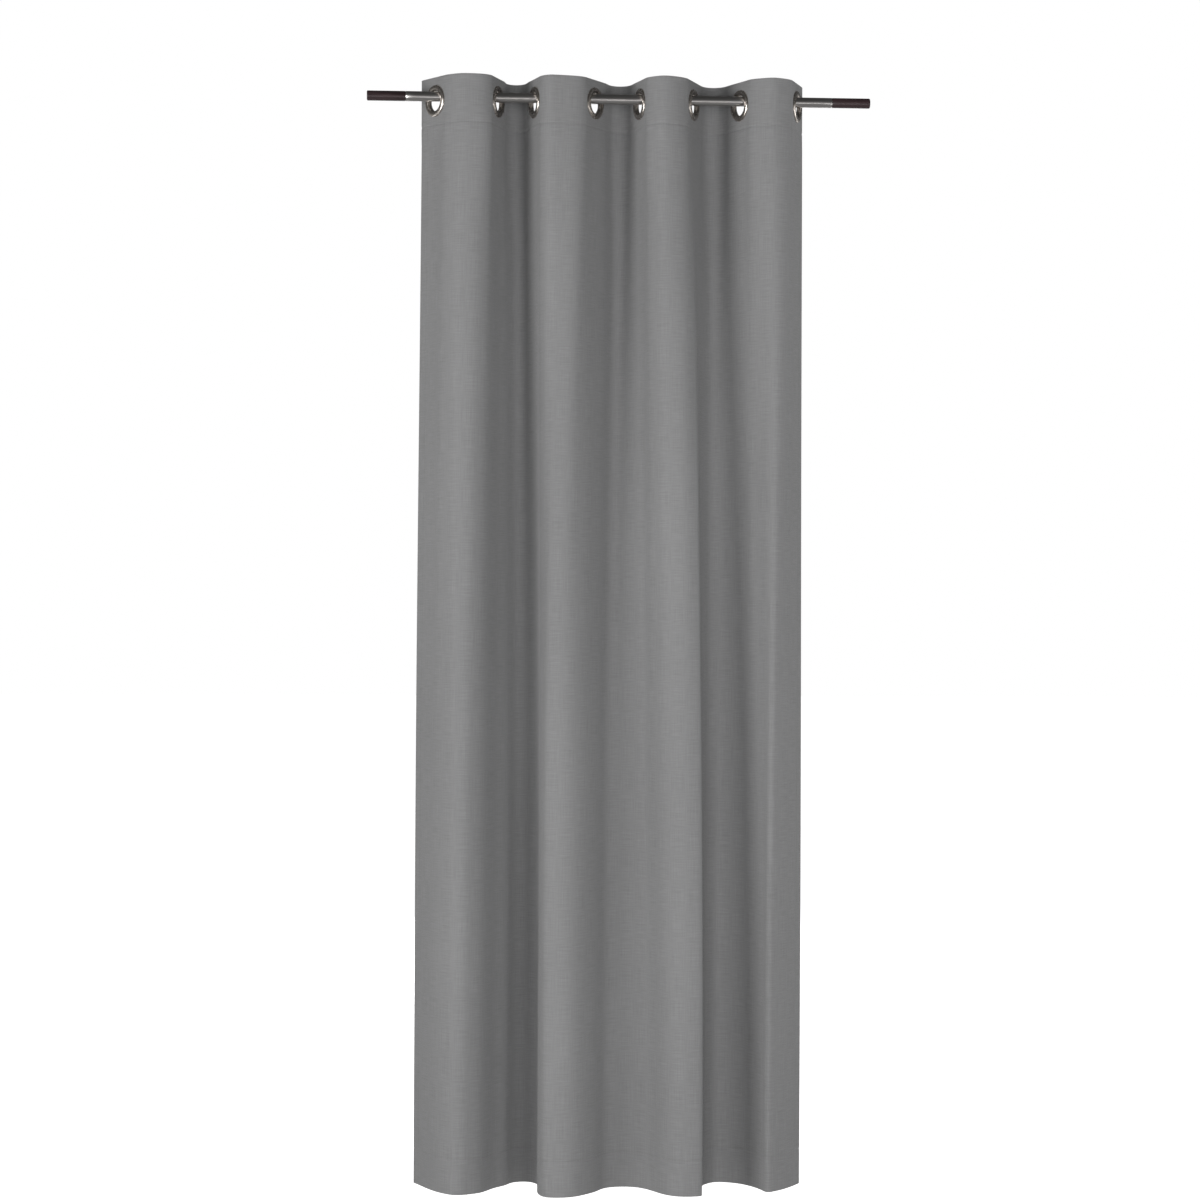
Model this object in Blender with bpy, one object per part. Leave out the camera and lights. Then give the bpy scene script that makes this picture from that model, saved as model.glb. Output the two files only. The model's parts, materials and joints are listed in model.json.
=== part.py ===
"""An eyelet curtain panel hanging on its rod.

The origin is on the rod's axis at mid-length. +X runs along the rod to the right, +Y goes to the back of the
curtain and +Z is up. Everything is in metres. The cloth is stored as it hangs: drawn out along the rod in soft
waves, with every other wave in front of the rod. The one sheet of cloth is cut at the crests of its waves into
one strip for each eyelet, so that the strips can close up along the rod. Each strip is a heading, down to the
heading's stitch line, and two lengths of fall below it.
"""

import math

import bpy
import numpy as np

for leftover in list(bpy.data.objects):
    bpy.data.objects.remove(leftover, do_unlink=True)

# ---------------------------------------------------------------- driving dimensions

GAP = 0.0003  # air between two pieces that touch
MM = 0.001

# rod
ROD_LENGTH = 1.113  # over both end caps
ROD_DIAMETER = 0.022
ROD_WALL = 0.0012
CAP_LENGTH = 0.085  # the part of a cap that shows
CAP_CHAMFER = 0.0012
SPIGOT_LENGTH = 0.030  # the part of a cap inside the tube

# cloth, laid flat
PANEL_WIDTH = 1.450
PANEL_DROP = 2.450
CLOTH_THICKNESS = 0.0012
EYELET_COUNT = 8
FALL_LENGTHS = 2  # the cloth below the heading, from top to bottom
STRIP_GAP = 0.0008  # between neighbouring pieces of cloth, across it and down it
SIDE_MARGIN = 0.055  # side edge to the nearest eyelet's centre
TOP_MARGIN = 0.0175  # top edge to the top of an eyelet's flange
HEADING_DEPTH = 0.107  # turned-over cloth with stiffening tape
TAPE_THICKNESS = 0.0016
TAPE_INSET = 0.002  # the tape stops short of the top fold

# eyelet: a front ring with a neck, clipped into a back ring through the cloth
HOLE_DIAMETER = 2 * ROD_DIAMETER  # wide enough to stand askew on the rod
FLANGE_WIDTH = 0.013  # hole to rim
FLANGE_HEIGHT = 0.0045  # front flange above the cloth
NECK_WALL = 0.0014
BACK_WIDTH = 0.012
BACK_HEIGHT = 0.0024
CUTTER_HALF = 0.020  # reach of the hole's cutter each side of the cloth
RING_PLAY = 0.0012  # room over the rod, which an eyelet turned across it needs

# the hang: eyelet centres and side edges along the rod
EYELET_X = (-0.406, -0.269, -0.188, -0.055, 0.045, 0.163, 0.267, 0.393)
EDGE_X = (-0.4365, 0.412)
# the folds at the hem, left edge to right edge: place along X, and how far back (+) or forward (-) in the
# proportions of the deepest fold
HEM_X = (-0.443, -0.330, -0.190, -0.164, -0.128, 0.014, 0.146, 0.188, 0.216, 0.246, 0.333, 0.417)
HEM_DEPTHS = (1.00, -0.55, 1.00, -0.70, -0.97, 0.30, -0.98, -0.86, 0.62, 0.75, -0.50, 0.55)
HEM_SLACK = 0.945  # straight zigzag through the folds over the cloth's flat width
SETTLING = 1.8  # how much sooner than evenly the waves change below the heading

# how the waves are found: a strip of short straight parts is bent until it is at rest
BEND_PARTS = 140
BEND_ROUNDS = 400
CLAMP_STIFFNESS = 1e4  # beside the free cloth's 1
STEADYING = 0.05  # pull of each part back to straight
MOST_TURN = 0.2  # of a part in one round
FIRST_SLOPE = math.radians(65)  # of the first guess at the eyelets

# mesh fineness
STRIP_COLUMNS = 5  # on each side of the clamped stretch
FALL_ROWS = 3  # in each length of fall
ROD_SIDES = 32
RING_SIDES = 20

# ---------------------------------------------------------------- derived sizes

ROD_RADIUS = ROD_DIAMETER / 2
BORE_RADIUS = ROD_RADIUS - ROD_WALL
TUBE_LENGTH = ROD_LENGTH - 2 * CAP_LENGTH
HOLE_RADIUS = HOLE_DIAMETER / 2
RING_RADIUS = HOLE_RADIUS + FLANGE_WIDTH
BACK_RADIUS = HOLE_RADIUS + BACK_WIDTH
NECK_RADIUS = HOLE_RADIUS + NECK_WALL
RING_Z = ROD_RADIUS + RING_PLAY - HOLE_RADIUS  # an eyelet hangs from the rod's top
TOP_Z = RING_Z + RING_RADIUS + TOP_MARGIN
HEADING_Z = TOP_Z - HEADING_DEPTH
HEM_Z = TOP_Z - PANEL_DROP
FLAT_PITCH = (PANEL_WIDTH - 2 * SIDE_MARGIN) / (EYELET_COUNT - 1)
EYELET_S = SIDE_MARGIN + FLAT_PITCH * np.arange(EYELET_COUNT)
FLAT_HALF = RING_RADIUS + 3 * MM  # an eyelet clamps the cloth flat this far from its centre
TAPE_FRONT = CLOTH_THICKNESS / 2 + GAP
TAPE_BACK = TAPE_FRONT + TAPE_THICKNESS

# ---------------------------------------------------------------- the cloth's waves in plan


def reach(s, parts, step):
    """How much of each part of the strip lies before the distances s along it."""
    start = step * np.arange(parts)
    return np.clip(np.asarray(s, float)[:, None] - start, 0, step)


def bend(pins, clamps, first_turn):
    """The angles and start of the least bent strip of the cloth's width through its pins.

    The strip is BEND_PARTS short straight parts. Each pin is (distance along the strip, x, y), with y None where
    only x is held. The bending energy is the sum of the squared turns between parts, many times stiffer within
    FLAT_HALF of the clamps' distances. Each round solves the energy's linear equations with the pins as
    constraints.
    """
    step = PANEL_WIDTH / BEND_PARTS
    middle = step * (np.arange(BEND_PARTS) + 0.5)
    joint = middle[:-1] + step / 2
    near = np.abs(joint[:, None] - np.array(clamps)).min(axis=1, initial=PANEL_WIDTH)
    turn = np.diff(np.eye(BEND_PARTS), axis=0)
    energy = turn.T @ (turn * np.where(near < FLAT_HALF, CLAMP_STIFFNESS, 1.0)[:, None])
    ahead = reach([pin[0] for pin in pins], BEND_PARTS, step)
    held = [i for i, pin in enumerate(pins) if pin[2] is not None]
    target = np.array([pin[1] for pin in pins] + [pins[i][2] for i in held])
    angle = first_turn(middle)
    start = np.array([pins[0][1], 0.0])
    rows = len(target)
    size = BEND_PARTS + 2
    for _ in range(BEND_ROUNDS):
        place = np.concatenate([start[0] + ahead @ np.cos(angle), start[1] + (ahead @ np.sin(angle))[held]])
        slope = np.zeros((rows, size))
        slope[: len(pins), :BEND_PARTS] = -ahead * np.sin(angle)
        slope[: len(pins), BEND_PARTS] = 1
        slope[len(pins) :, :BEND_PARTS] = (ahead * np.cos(angle))[held]
        slope[len(pins) :, BEND_PARTS + 1] = 1
        system = np.zeros((size + rows, size + rows))
        system[:BEND_PARTS, :BEND_PARTS] = energy + STEADYING * np.eye(BEND_PARTS)
        system[size:, :size] = slope
        system[:size, size:] = slope.T
        right = np.concatenate([-energy @ angle, [0, 0], target - place])
        change = np.linalg.solve(system, right)[:size]
        change *= min(1, MOST_TURN / np.abs(change[:BEND_PARTS]).max())
        angle = angle + change[:BEND_PARTS]
        start = start + change[BEND_PARTS:]
    return angle, start


def waves(crossings, tallest):
    """A first guess of the strip's angles: it turns from falling to rising and back between the crossings."""

    def angles(s):
        phase = np.interp(s, crossings, np.pi * np.arange(len(crossings)))
        return -tallest * np.cos(phase)

    return angles


def plan(s, curve):
    """Points (x, y) of a bent strip at the distances s along it."""
    angle, start = curve
    ahead = reach(s, BEND_PARTS, PANEL_WIDTH / BEND_PARTS)
    return start + np.stack([ahead @ np.cos(angle), ahead @ np.sin(angle)], axis=1)


def heading_curve():
    """The cloth along the rod: through every eyelet's centre, flat behind each flange."""
    pins = [(s, x, 0.0) for s, x in zip(EYELET_S, EYELET_X)]
    pins = [(0.0, EDGE_X[0], None)] + pins + [(PANEL_WIDTH, EDGE_X[1], None)]
    return bend(pins, EYELET_S, waves(EYELET_S, FIRST_SLOPE))


def hem_points():
    """The folds at the hem. Their depth takes up the cloth's width, less the slack of its round folds."""
    x = np.array(HEM_X)
    shape = np.array(HEM_DEPTHS)
    low, high = 0.0, PANEL_WIDTH
    for _ in range(60):
        depth = (low + high) / 2
        length = np.hypot(np.diff(x), depth * np.diff(shape)).sum()
        low, high = (depth, high) if length < HEM_SLACK * PANEL_WIDTH else (low, depth)
    return x, depth * shape


def hem_curve():
    """The cloth at the hem, through the folds' outermost points."""
    x, y = hem_points()
    lengths = np.hypot(np.diff(x), np.diff(y))
    s = np.concatenate([[0], np.cumsum(lengths)]) * PANEL_WIDTH / lengths.sum()
    zigzag = ((s[1:] + s[:-1]) / 2, np.arctan2(np.diff(y), np.diff(x)))
    return bend(list(zip(s, x, y)), (), lambda distances: np.interp(distances, *zigzag))


HEADING = heading_curve()
HEM = hem_curve()


def sheet(s, z, offset):
    """Points of the hanging sheet at the distances s across and the heights z, moved back by offset.

    The heading hangs straight down. Below it the waves change from the heading's to the hem's, sooner near the
    top.
    """
    fallen = np.clip((HEADING_Z - np.asarray(z)) / (HEADING_Z - HEM_Z), 0, 1)[:, None, None]
    share = 1 - (1 - fallen) ** SETTLING
    reach_of_slope = 0.5 * MM
    across, before, after = (
        (1 - share) * plan(s + d, HEADING) + share * plan(s + d, HEM) for d in (0, -reach_of_slope, reach_of_slope)
    )
    along = after - before
    along /= np.linalg.norm(along, axis=2, keepdims=True)
    back = np.stack([-along[..., 1], along[..., 0]], axis=2)
    moved = across + offset * back
    heights = np.broadcast_to(np.asarray(z, float)[:, None, None], moved.shape[:2] + (1,))
    return np.concatenate([moved, heights], axis=2)


def turn_at(s):
    """The sheet's direction at the heading, as its angle from +X."""
    before, after = plan(np.array([s - MM, s + MM]), HEADING)
    return math.atan2(after[1] - before[1], after[0] - before[0])


# ---------------------------------------------------------------- making objects


def material(name, colour, roughness, metallic=0.0):
    made = bpy.data.materials.new(name)
    made.use_nodes = True
    shader = made.node_tree.nodes["Principled BSDF"]
    shader.inputs["Base Color"].default_value = (*colour, 1)
    shader.inputs["Roughness"].default_value = roughness
    shader.inputs["Metallic"].default_value = metallic
    return made


def new_object(name, vertices, faces, look, smooth=True):
    mesh = bpy.data.meshes.new(name)
    mesh.from_pydata([tuple(v) for v in vertices], [], [tuple(f) for f in faces])
    mesh.materials.append(look)
    if smooth:
        mesh.shade_smooth()
        mesh.set_sharp_from_angle(angle=math.radians(35))
    made = bpy.data.objects.new(name, mesh)
    bpy.context.scene.collection.objects.link(made)
    return made


def turned(name, profile, sides, look):
    """A closed profile of (radius, height) turned about local X, with the height along X.

    The profile runs with the solid on its left when radius is drawn to the right and height up. A point of
    radius 0 is a pole.
    """
    vertices, rings = [], []
    for radius, height in profile:
        if radius == 0:
            rings.append([len(vertices)] * sides)
            vertices.append((height, 0, 0))
            continue
        rings.append(list(range(len(vertices), len(vertices) + sides)))
        for i in range(sides):
            a = 2 * math.pi * i / sides
            vertices.append((height, radius * math.sin(a), radius * math.cos(a)))
    faces = []
    for j, ring in enumerate(rings):
        following = rings[(j + 1) % len(rings)]
        for i in range(sides):
            n = (i + 1) % sides
            corners = list(dict.fromkeys((ring[i], following[i], following[n], ring[n])))
            if len(corners) > 2:
                faces.append(corners)
    return new_object(name, vertices, faces, look)


def slab(name, s, z, front, back, look):
    """A closed sheet between two offsets of the hanging cloth, over the distances s and the heights z."""
    columns, rows = len(s), len(z)
    vertices = np.concatenate([sheet(s, z, front).reshape(-1, 3), sheet(s, z, back).reshape(-1, 3)])
    grid = np.arange(rows * columns).reshape(rows, columns)
    far = grid + rows * columns
    faces = []
    for r in range(rows - 1):
        for c in range(columns - 1):
            faces.append((grid[r, c], grid[r + 1, c], grid[r + 1, c + 1], grid[r, c + 1]))
            faces.append((far[r, c], far[r, c + 1], far[r + 1, c + 1], far[r + 1, c]))
    rim = list(grid[0]) + list(grid[1:, -1]) + list(grid[-1, -2::-1]) + list(grid[-2:0:-1, 0])
    for a, b in zip(rim, rim[1:] + rim[:1]):
        faces.append((a, b, b + rows * columns, a + rows * columns))
    return new_object(name, vertices, faces, look, smooth=False)


def cut_hole(target, cutter):
    hole = target.modifiers.new("eyelet hole", "BOOLEAN")
    hole.operation = "DIFFERENCE"
    hole.solver = "EXACT"
    hole.object = cutter


# ---------------------------------------------------------------- rod


def rod():
    """A steel tube with a plugged cap in each end, flush with the tube."""
    steel = material("rod steel", (0.42, 0.41, 0.40), 0.34, 1.0)
    dark = material("cap dark", (0.030, 0.017, 0.018), 0.38)
    half = TUBE_LENGTH / 2
    tube = [(BORE_RADIUS, -half), (ROD_RADIUS, -half), (ROD_RADIUS, half), (BORE_RADIUS, half)]
    turned("rod_tube", tube, ROD_SIDES, steel)
    spigot = BORE_RADIUS - GAP
    cap = [
        (0, -SPIGOT_LENGTH),
        (spigot - CAP_CHAMFER, -SPIGOT_LENGTH),
        (spigot, -SPIGOT_LENGTH + CAP_CHAMFER),
        (spigot, GAP),
        (ROD_RADIUS, GAP),
        (ROD_RADIUS, CAP_LENGTH - CAP_CHAMFER),
        (ROD_RADIUS - CAP_CHAMFER, CAP_LENGTH),
        (0, CAP_LENGTH),
    ]
    right = turned("end_cap_right", cap, ROD_SIDES, dark)
    right.location.x = half
    left = turned("end_cap_left", cap, ROD_SIDES, dark)
    left.location.x = -half
    left.rotation_euler.z = math.pi


# ---------------------------------------------------------------- eyelets


def front_ring_profile():
    """The domed front flange and the neck that goes through the cloth."""
    hole = HOLE_RADIUS / math.cos(math.pi / RING_SIDES)  # flats touch the true hole
    seat = CLOTH_THICKNESS / 2 + GAP
    top = seat + FLANGE_HEIGHT
    neck_end = -(TAPE_BACK + GAP + BACK_HEIGHT)
    return [
        (hole, neck_end),
        (NECK_RADIUS, neck_end),
        (NECK_RADIUS, seat),
        (RING_RADIUS, seat),
        (RING_RADIUS, seat + 0.35 * FLANGE_HEIGHT),
        (RING_RADIUS - 0.15 * FLANGE_WIDTH, seat + 0.75 * FLANGE_HEIGHT),
        (RING_RADIUS - 0.50 * FLANGE_WIDTH, top),
        (hole + 0.12 * FLANGE_WIDTH, seat + 0.80 * FLANGE_HEIGHT),
        (hole, seat + 0.40 * FLANGE_HEIGHT),
    ]


def back_ring_profile():
    """The flat ring that the neck clips into behind the tape."""
    face = -(TAPE_BACK + GAP)
    inner = (NECK_RADIUS + GAP) / math.cos(math.pi / RING_SIDES)
    return [
        (inner, face - BACK_HEIGHT),
        (BACK_RADIUS - BACK_HEIGHT, face - BACK_HEIGHT),
        (BACK_RADIUS, face - 0.4 * BACK_HEIGHT),
        (BACK_RADIUS, face),
        (inner, face),
    ]


def eyelet(k, nickel):
    """The two rings of eyelet k, and the cutter for their hole in the cloth, facing along the cloth's normal."""
    facing = turn_at(EYELET_S[k]) - math.pi / 2
    place = (EYELET_X[k], 0, RING_Z)
    hole = (NECK_RADIUS + 2 * GAP) / math.cos(math.pi / RING_SIDES)
    through = [(0, -CUTTER_HALF), (hole, -CUTTER_HALF), (hole, CUTTER_HALF), (0, CUTTER_HALF)]
    cutter = turned(f"hole_cutter_{k + 1}", through, RING_SIDES, nickel)
    cutter.hide_render = True
    cutter.display_type = "WIRE"
    front = turned(f"eyelet_front_{k + 1}", front_ring_profile(), RING_SIDES, nickel)
    back = turned(f"eyelet_back_{k + 1}", back_ring_profile(), RING_SIDES, nickel)
    for piece in (front, back, cutter):
        piece.location = place
        piece.rotation_euler.z = facing
    return cutter


# ---------------------------------------------------------------- cloth


def strip_columns(k):
    """Distances across the flat cloth for the strip that eyelet k holds, crest to crest.

    The stretch that the eyelet clamps flat has no column inside it.
    """
    middle = EYELET_S[k]
    left = 0.0 if k == 0 else middle - FLAT_PITCH / 2 + STRIP_GAP / 2
    right = PANEL_WIDTH if k == EYELET_COUNT - 1 else middle + FLAT_PITCH / 2 - STRIP_GAP / 2
    before = np.linspace(left, middle - FLAT_HALF, STRIP_COLUMNS + 1)
    after = np.linspace(middle + FLAT_HALF, right, STRIP_COLUMNS + 1)
    return np.concatenate([before, after])


def fall_heights(n):
    """Heights of the rows of the fall's length n, from its upper end to its lower one."""
    ends = np.linspace(HEADING_Z, HEM_Z, FALL_LENGTHS + 1)
    lower = ends[n + 1] if n == FALL_LENGTHS - 1 else ends[n + 1] + STRIP_GAP / 2
    return np.linspace(ends[n] - STRIP_GAP / 2, lower, FALL_ROWS + 1)


def cloth():
    nickel = material("satin nickel", (0.50, 0.46, 0.42), 0.30, 1.0)
    grey = material("grey cloth", (0.19, 0.19, 0.19), 0.9)
    backing = material("grey heading", (0.17, 0.17, 0.17), 0.9)
    heading = (TOP_Z, HEADING_Z + STRIP_GAP / 2)
    half = CLOTH_THICKNESS / 2
    for k in range(EYELET_COUNT):
        cutter = eyelet(k, nickel)
        s = strip_columns(k)
        top = slab(f"cloth_heading_{k + 1}", s, heading, -half, half, grey)
        tape = slab(f"heading_tape_{k + 1}", s, (TOP_Z - TAPE_INSET, HEADING_Z), TAPE_FRONT, TAPE_BACK, backing)
        cut_hole(top, cutter)
        cut_hole(tape, cutter)
        for n in range(FALL_LENGTHS):
            slab(f"cloth_fall_{k + 1}_{n + 1}", s, fall_heights(n), -half, half, grey)


rod()
cloth()
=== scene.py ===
"""An eyelet curtain panel of grey woven cloth, hanging in soft waves from a steel rod.

The sections follow the way it is put together: the cloth, its stiffener, its side hems and stitching, then
the eyelets, the rod and its end caps, and last the room that it is seen in. Everything is in metres, with the
origin on the rod's axis at mid-length, +X to the right, +Y to the back and +Z up.
"""

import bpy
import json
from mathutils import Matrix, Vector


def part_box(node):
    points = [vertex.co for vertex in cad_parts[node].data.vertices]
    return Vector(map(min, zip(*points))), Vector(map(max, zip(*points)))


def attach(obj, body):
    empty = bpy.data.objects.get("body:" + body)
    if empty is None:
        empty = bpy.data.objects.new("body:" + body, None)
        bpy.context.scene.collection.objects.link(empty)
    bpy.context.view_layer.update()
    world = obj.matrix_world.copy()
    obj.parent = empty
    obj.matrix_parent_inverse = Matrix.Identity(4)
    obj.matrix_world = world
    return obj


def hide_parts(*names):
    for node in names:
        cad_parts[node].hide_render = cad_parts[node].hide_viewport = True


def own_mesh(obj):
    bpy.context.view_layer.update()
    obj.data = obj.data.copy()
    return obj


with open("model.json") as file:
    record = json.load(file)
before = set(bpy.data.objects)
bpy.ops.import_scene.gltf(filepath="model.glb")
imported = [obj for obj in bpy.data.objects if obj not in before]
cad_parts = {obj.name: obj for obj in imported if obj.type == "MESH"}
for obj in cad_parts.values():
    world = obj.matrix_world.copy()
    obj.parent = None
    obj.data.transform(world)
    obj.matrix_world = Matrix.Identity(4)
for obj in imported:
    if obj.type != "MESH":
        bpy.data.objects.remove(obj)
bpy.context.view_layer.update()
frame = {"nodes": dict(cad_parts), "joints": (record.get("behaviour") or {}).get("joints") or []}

import json
import math

import bpy
import numpy as np

# ------------------------------------------------------------------------------------------------------ cloth
# One sheet of plain-woven grey cloth, turned over to the back at the top as a deep heading and at the bottom
# as a hem. It hangs from eight eyelets, in waves that pass behind and in front of the rod by turns.

MM = 0.001
PANEL_WIDTH = 1.450
PANEL_DROP = 2.450
SIDE_MARGIN = 0.055
TOP_MARGIN = 0.0175
HEADING_DEPTH = 0.107
HEM_DEPTH = 0.080
SIDE_HEM = 0.025
RING_RADIUS = 0.035
EYELET_CUT = 0.0285  # cells of the cloth nearer than this to an eyelet's axis are left out
CLOTH_THICK = 0.0008
HEADING_BACK = 0.0022  # the turned-over heading lies this far behind the face, with the stiffener between
HEM_BACK = 0.0010
EDGE_X = (-0.4365, 0.412)  # where the side edges hang at the heading
# the hem's outermost fold points: their places along the rod, and how far back they stand, as shares of one
# depth that is found below
HEM_X = (-0.443, -0.330, -0.190, -0.164, -0.128, 0.014, 0.146, 0.188, 0.216, 0.246, 0.333, 0.417)
HEM_DEPTHS = (1.00, -0.55, 1.00, -0.70, -0.97, 0.30, -0.98, -0.86, 0.62, 0.75, -0.50, 0.55)
HEM_SLACK = 0.945  # the length of the zigzag through the fold points, as a share of the cloth's width
SHARP_FOLDS = [7, 10]  # the fold points that are creased and not round
SETTLING = 1.8  # how much sooner than evenly the waves change below the heading
CREASES = (0.1375, 0.511, 0.910, 1.301)  # where the stiff heading is creased, across the flat cloth
CREASE_HALF = 0.008
# long sharp creases: place across at the heading and at the hem, and how far forward they stand
LONG_CREASES = ((0.1325, 0.158, 0.006), (0.520, 0.560, 0.005))
# softer folds between the waves: place across the flat cloth, half width, and how far back they lie
SOFT_FOLDS = ((0.195, 0.024, 0.005), (0.318, 0.030, -0.009), (0.700, 0.030, -0.006), (1.085, 0.028, -0.006))

swivels = [joint for joint in frame["joints"] if joint["name"].startswith("eyelet_swivel")]
swivels.sort(key=lambda joint: joint["pos_m"][0])
EYELET_X = np.array([joint["pos_m"][0] for joint in swivels])
RING_Z = swivels[0]["pos_m"][2]
EYELETS = len(swivels)
EYELET_S = SIDE_MARGIN + (PANEL_WIDTH - 2 * SIDE_MARGIN) / (EYELETS - 1) * np.arange(EYELETS)
TOP_Z = RING_Z + RING_RADIUS + TOP_MARGIN
HEADING_Z = TOP_Z - HEADING_DEPTH
HEM_Z = TOP_Z - PANEL_DROP
HEADING_STITCH_Z = HEADING_Z + 2 * MM
HEM_STITCH_Z = HEM_Z + HEM_DEPTH - 2 * MM
LAST_BODY = f"pleat_{EYELETS}"

BEND_PARTS = 140  # straight parts that the cloth's width is cut into, to find its plan
BEND_ROUNDS = 400
FINE_STEPS = 8  # points of the smooth plan for each of those parts
FLAT_HALF = RING_RADIUS + 3 * MM  # the cloth is flat this near to an eyelet's middle
CLAMP_STIFFNESS = 1e4
CREASE_WEAKNESS = 60
STEADYING = 0.05  # what a change of angle costs in one round, which keeps the rounds steady
LARGEST_CHANGE = 0.2
FIRST_SWING = math.radians(65)
HALVINGS = 60  # rounds in which the depth of the hem's folds is closed in on


def reach(s):
    """How much of each of the strip's parts lies before the distances s: s less the part's start, within 0
    and the part's length."""
    step = PANEL_WIDTH / BEND_PARTS
    return np.clip(np.asarray(s, float)[:, None] - step * np.arange(BEND_PARTS), 0, step)


def bend(pins, clamps, creases, first_turn):
    """Angles and start of the least bent strip through pins of (distance, x, y or None).

    Bending energy is the sum of squared turns between neighbouring parts, many times stiffer near the clamps
    and weaker at the creases. Each round solves the energy's linear equations with the pins' places as
    constraints.
    """
    step = PANEL_WIDTH / BEND_PARTS
    middle = step * (np.arange(BEND_PARTS) + 0.5)
    between = middle[:-1, None] + step / 2
    near = np.abs(between - np.array(clamps)).min(axis=1, initial=PANEL_WIDTH)
    loose = np.exp(-(((between - np.array(creases)) / CREASE_HALF) ** 2)).sum(axis=1)
    stiffness = np.where(near < FLAT_HALF, CLAMP_STIFFNESS, 1.0) / (1 + CREASE_WEAKNESS * loose)
    turn = np.diff(np.eye(BEND_PARTS), axis=0)
    energy = turn.T @ (turn * stiffness[:, None])
    ahead = reach([pin[0] for pin in pins])
    held = [i for i, pin in enumerate(pins) if pin[2] is not None]
    target = np.array([pin[1] for pin in pins] + [pins[i][2] for i in held])
    angle, start = first_turn(middle), np.array([pins[0][1], 0.0])
    size = BEND_PARTS + 2
    for _ in range(BEND_ROUNDS):
        place = np.concatenate([start[0] + ahead @ np.cos(angle), start[1] + (ahead @ np.sin(angle))[held]])
        slope = np.zeros((len(target), size))
        slope[: len(pins), :BEND_PARTS] = -ahead * np.sin(angle)
        slope[: len(pins), BEND_PARTS] = 1
        slope[len(pins) :, :BEND_PARTS] = (ahead * np.cos(angle))[held]
        slope[len(pins) :, BEND_PARTS + 1] = 1
        system = np.zeros((size + len(target),) * 2)
        system[:BEND_PARTS, :BEND_PARTS] = energy + STEADYING * np.eye(BEND_PARTS)
        system[size:, :size] = slope
        system[:size, size:] = slope.T
        change = np.linalg.solve(system, np.concatenate([-energy @ angle, [0, 0], target - place]))[:size]
        change *= min(1, LARGEST_CHANGE / np.abs(change[:BEND_PARTS]).max())
        angle, start = angle + change[:BEND_PARTS], start + change[BEND_PARTS:]
    return angle, start


def walked(start, angle, step):
    """The corners of a path in plan from start, in equal steps that each have their own angle."""
    moves = np.stack([np.cos(angle), np.sin(angle)], axis=1) * step
    return start + np.concatenate([[[0, 0]], np.cumsum(moves, axis=0)])


def smooth_curve(angle, start):
    """The strip's plan as (x, y) at a fine row of distances: its angle is run smoothly between the parts'
    middles and summed up, then moved by the small drift from the parts' own corners."""
    step = PANEL_WIDTH / BEND_PARTS
    fine = np.linspace(0, PANEL_WIDTH, FINE_STEPS * BEND_PARTS + 1)
    run = np.interp((fine[1:] + fine[:-1]) / 2, step * (np.arange(BEND_PARTS) + 0.5), angle)
    smooth = walked(start, run, fine[1] - fine[0])
    drift = walked(start, angle, step) - smooth[::FINE_STEPS]
    drift = np.stack([np.interp(fine, fine[::FINE_STEPS], drift[:, i]) for i in (0, 1)], axis=1)
    return fine, smooth + drift


def waves(crossings, tallest):
    """A first guess of the angles: minus the tallest times the cosine of a phase that grows by pi from one
    crossing to the next."""
    return lambda s: -tallest * np.cos(np.interp(s, crossings, np.pi * np.arange(len(crossings))))


def hem_folds():
    """The hem's outermost fold points. The depth that they share is halved in until the straight zigzag
    through them takes up the cloth's width, less the slack of its round folds."""
    x, shape = np.array(HEM_X), np.array(HEM_DEPTHS)
    low, high = 0.0, PANEL_WIDTH
    for _ in range(HALVINGS):
        depth = (low + high) / 2
        long = np.hypot(np.diff(x), depth * np.diff(shape)).sum() > HEM_SLACK * PANEL_WIDTH
        low, high = (low, depth) if long else (depth, high)
    return x, depth * shape


pins = [(s, x, 0.0) for s, x in zip(EYELET_S, EYELET_X)]
pins = [(0.0, EDGE_X[0], None), *pins, (PANEL_WIDTH, EDGE_X[1], None)]
HEADING = smooth_curve(*bend(pins, EYELET_S, CREASES, waves(EYELET_S, FIRST_SWING)))
fold_x, fold_y = hem_folds()
fold_s = np.concatenate([[0], np.cumsum(np.hypot(np.diff(fold_x), np.diff(fold_y)))])
fold_s *= PANEL_WIDTH / fold_s[-1]
zigzag = ((fold_s[1:] + fold_s[:-1]) / 2, np.arctan2(np.diff(fold_y), np.diff(fold_x)))
pins = list(zip(fold_s, fold_x, fold_y))
HEM = smooth_curve(*bend(pins, (), fold_s[SHARP_FOLDS], lambda s: np.interp(s, *zigzag)))


def plan(s, curve):
    """Points (x, y) on a plan curve at the distances s."""
    return np.stack([np.interp(s, curve[0], curve[1][:, i]) for i in (0, 1)], axis=-1)


def soft(value, low, high):
    """Rises smoothly from 0 at low to 1 at high."""
    t = np.clip((value - low) / (high - low), 0, 1)
    return t * t * (3 - 2 * t)


RIPPLE_COUNT = 14
RIPPLE_HEIGHT = 1.3 * MM
PULL_DEPTH = 1.6 * MM  # the pull under each eyelet, with its half width and its length down
PULL_HALF = 0.020
PULL_LENGTH = 0.25
CLAMPED_TO = 0.075  # the clamp's hold on the cloth ends this far from an eyelet's middle
DENT_DEPTH = 0.8 * MM  # the dent of a stitch line, with its half width
DENT_HALF = 2.2 * MM
CREASE_ROUND = 5 * MM  # a long crease's ridge is rounded this far, and fades over the next length
CREASE_FADE = 0.022
NORMAL_REACH = 1.5 * MM  # how far to each side the cloth's direction in plan is measured

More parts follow.
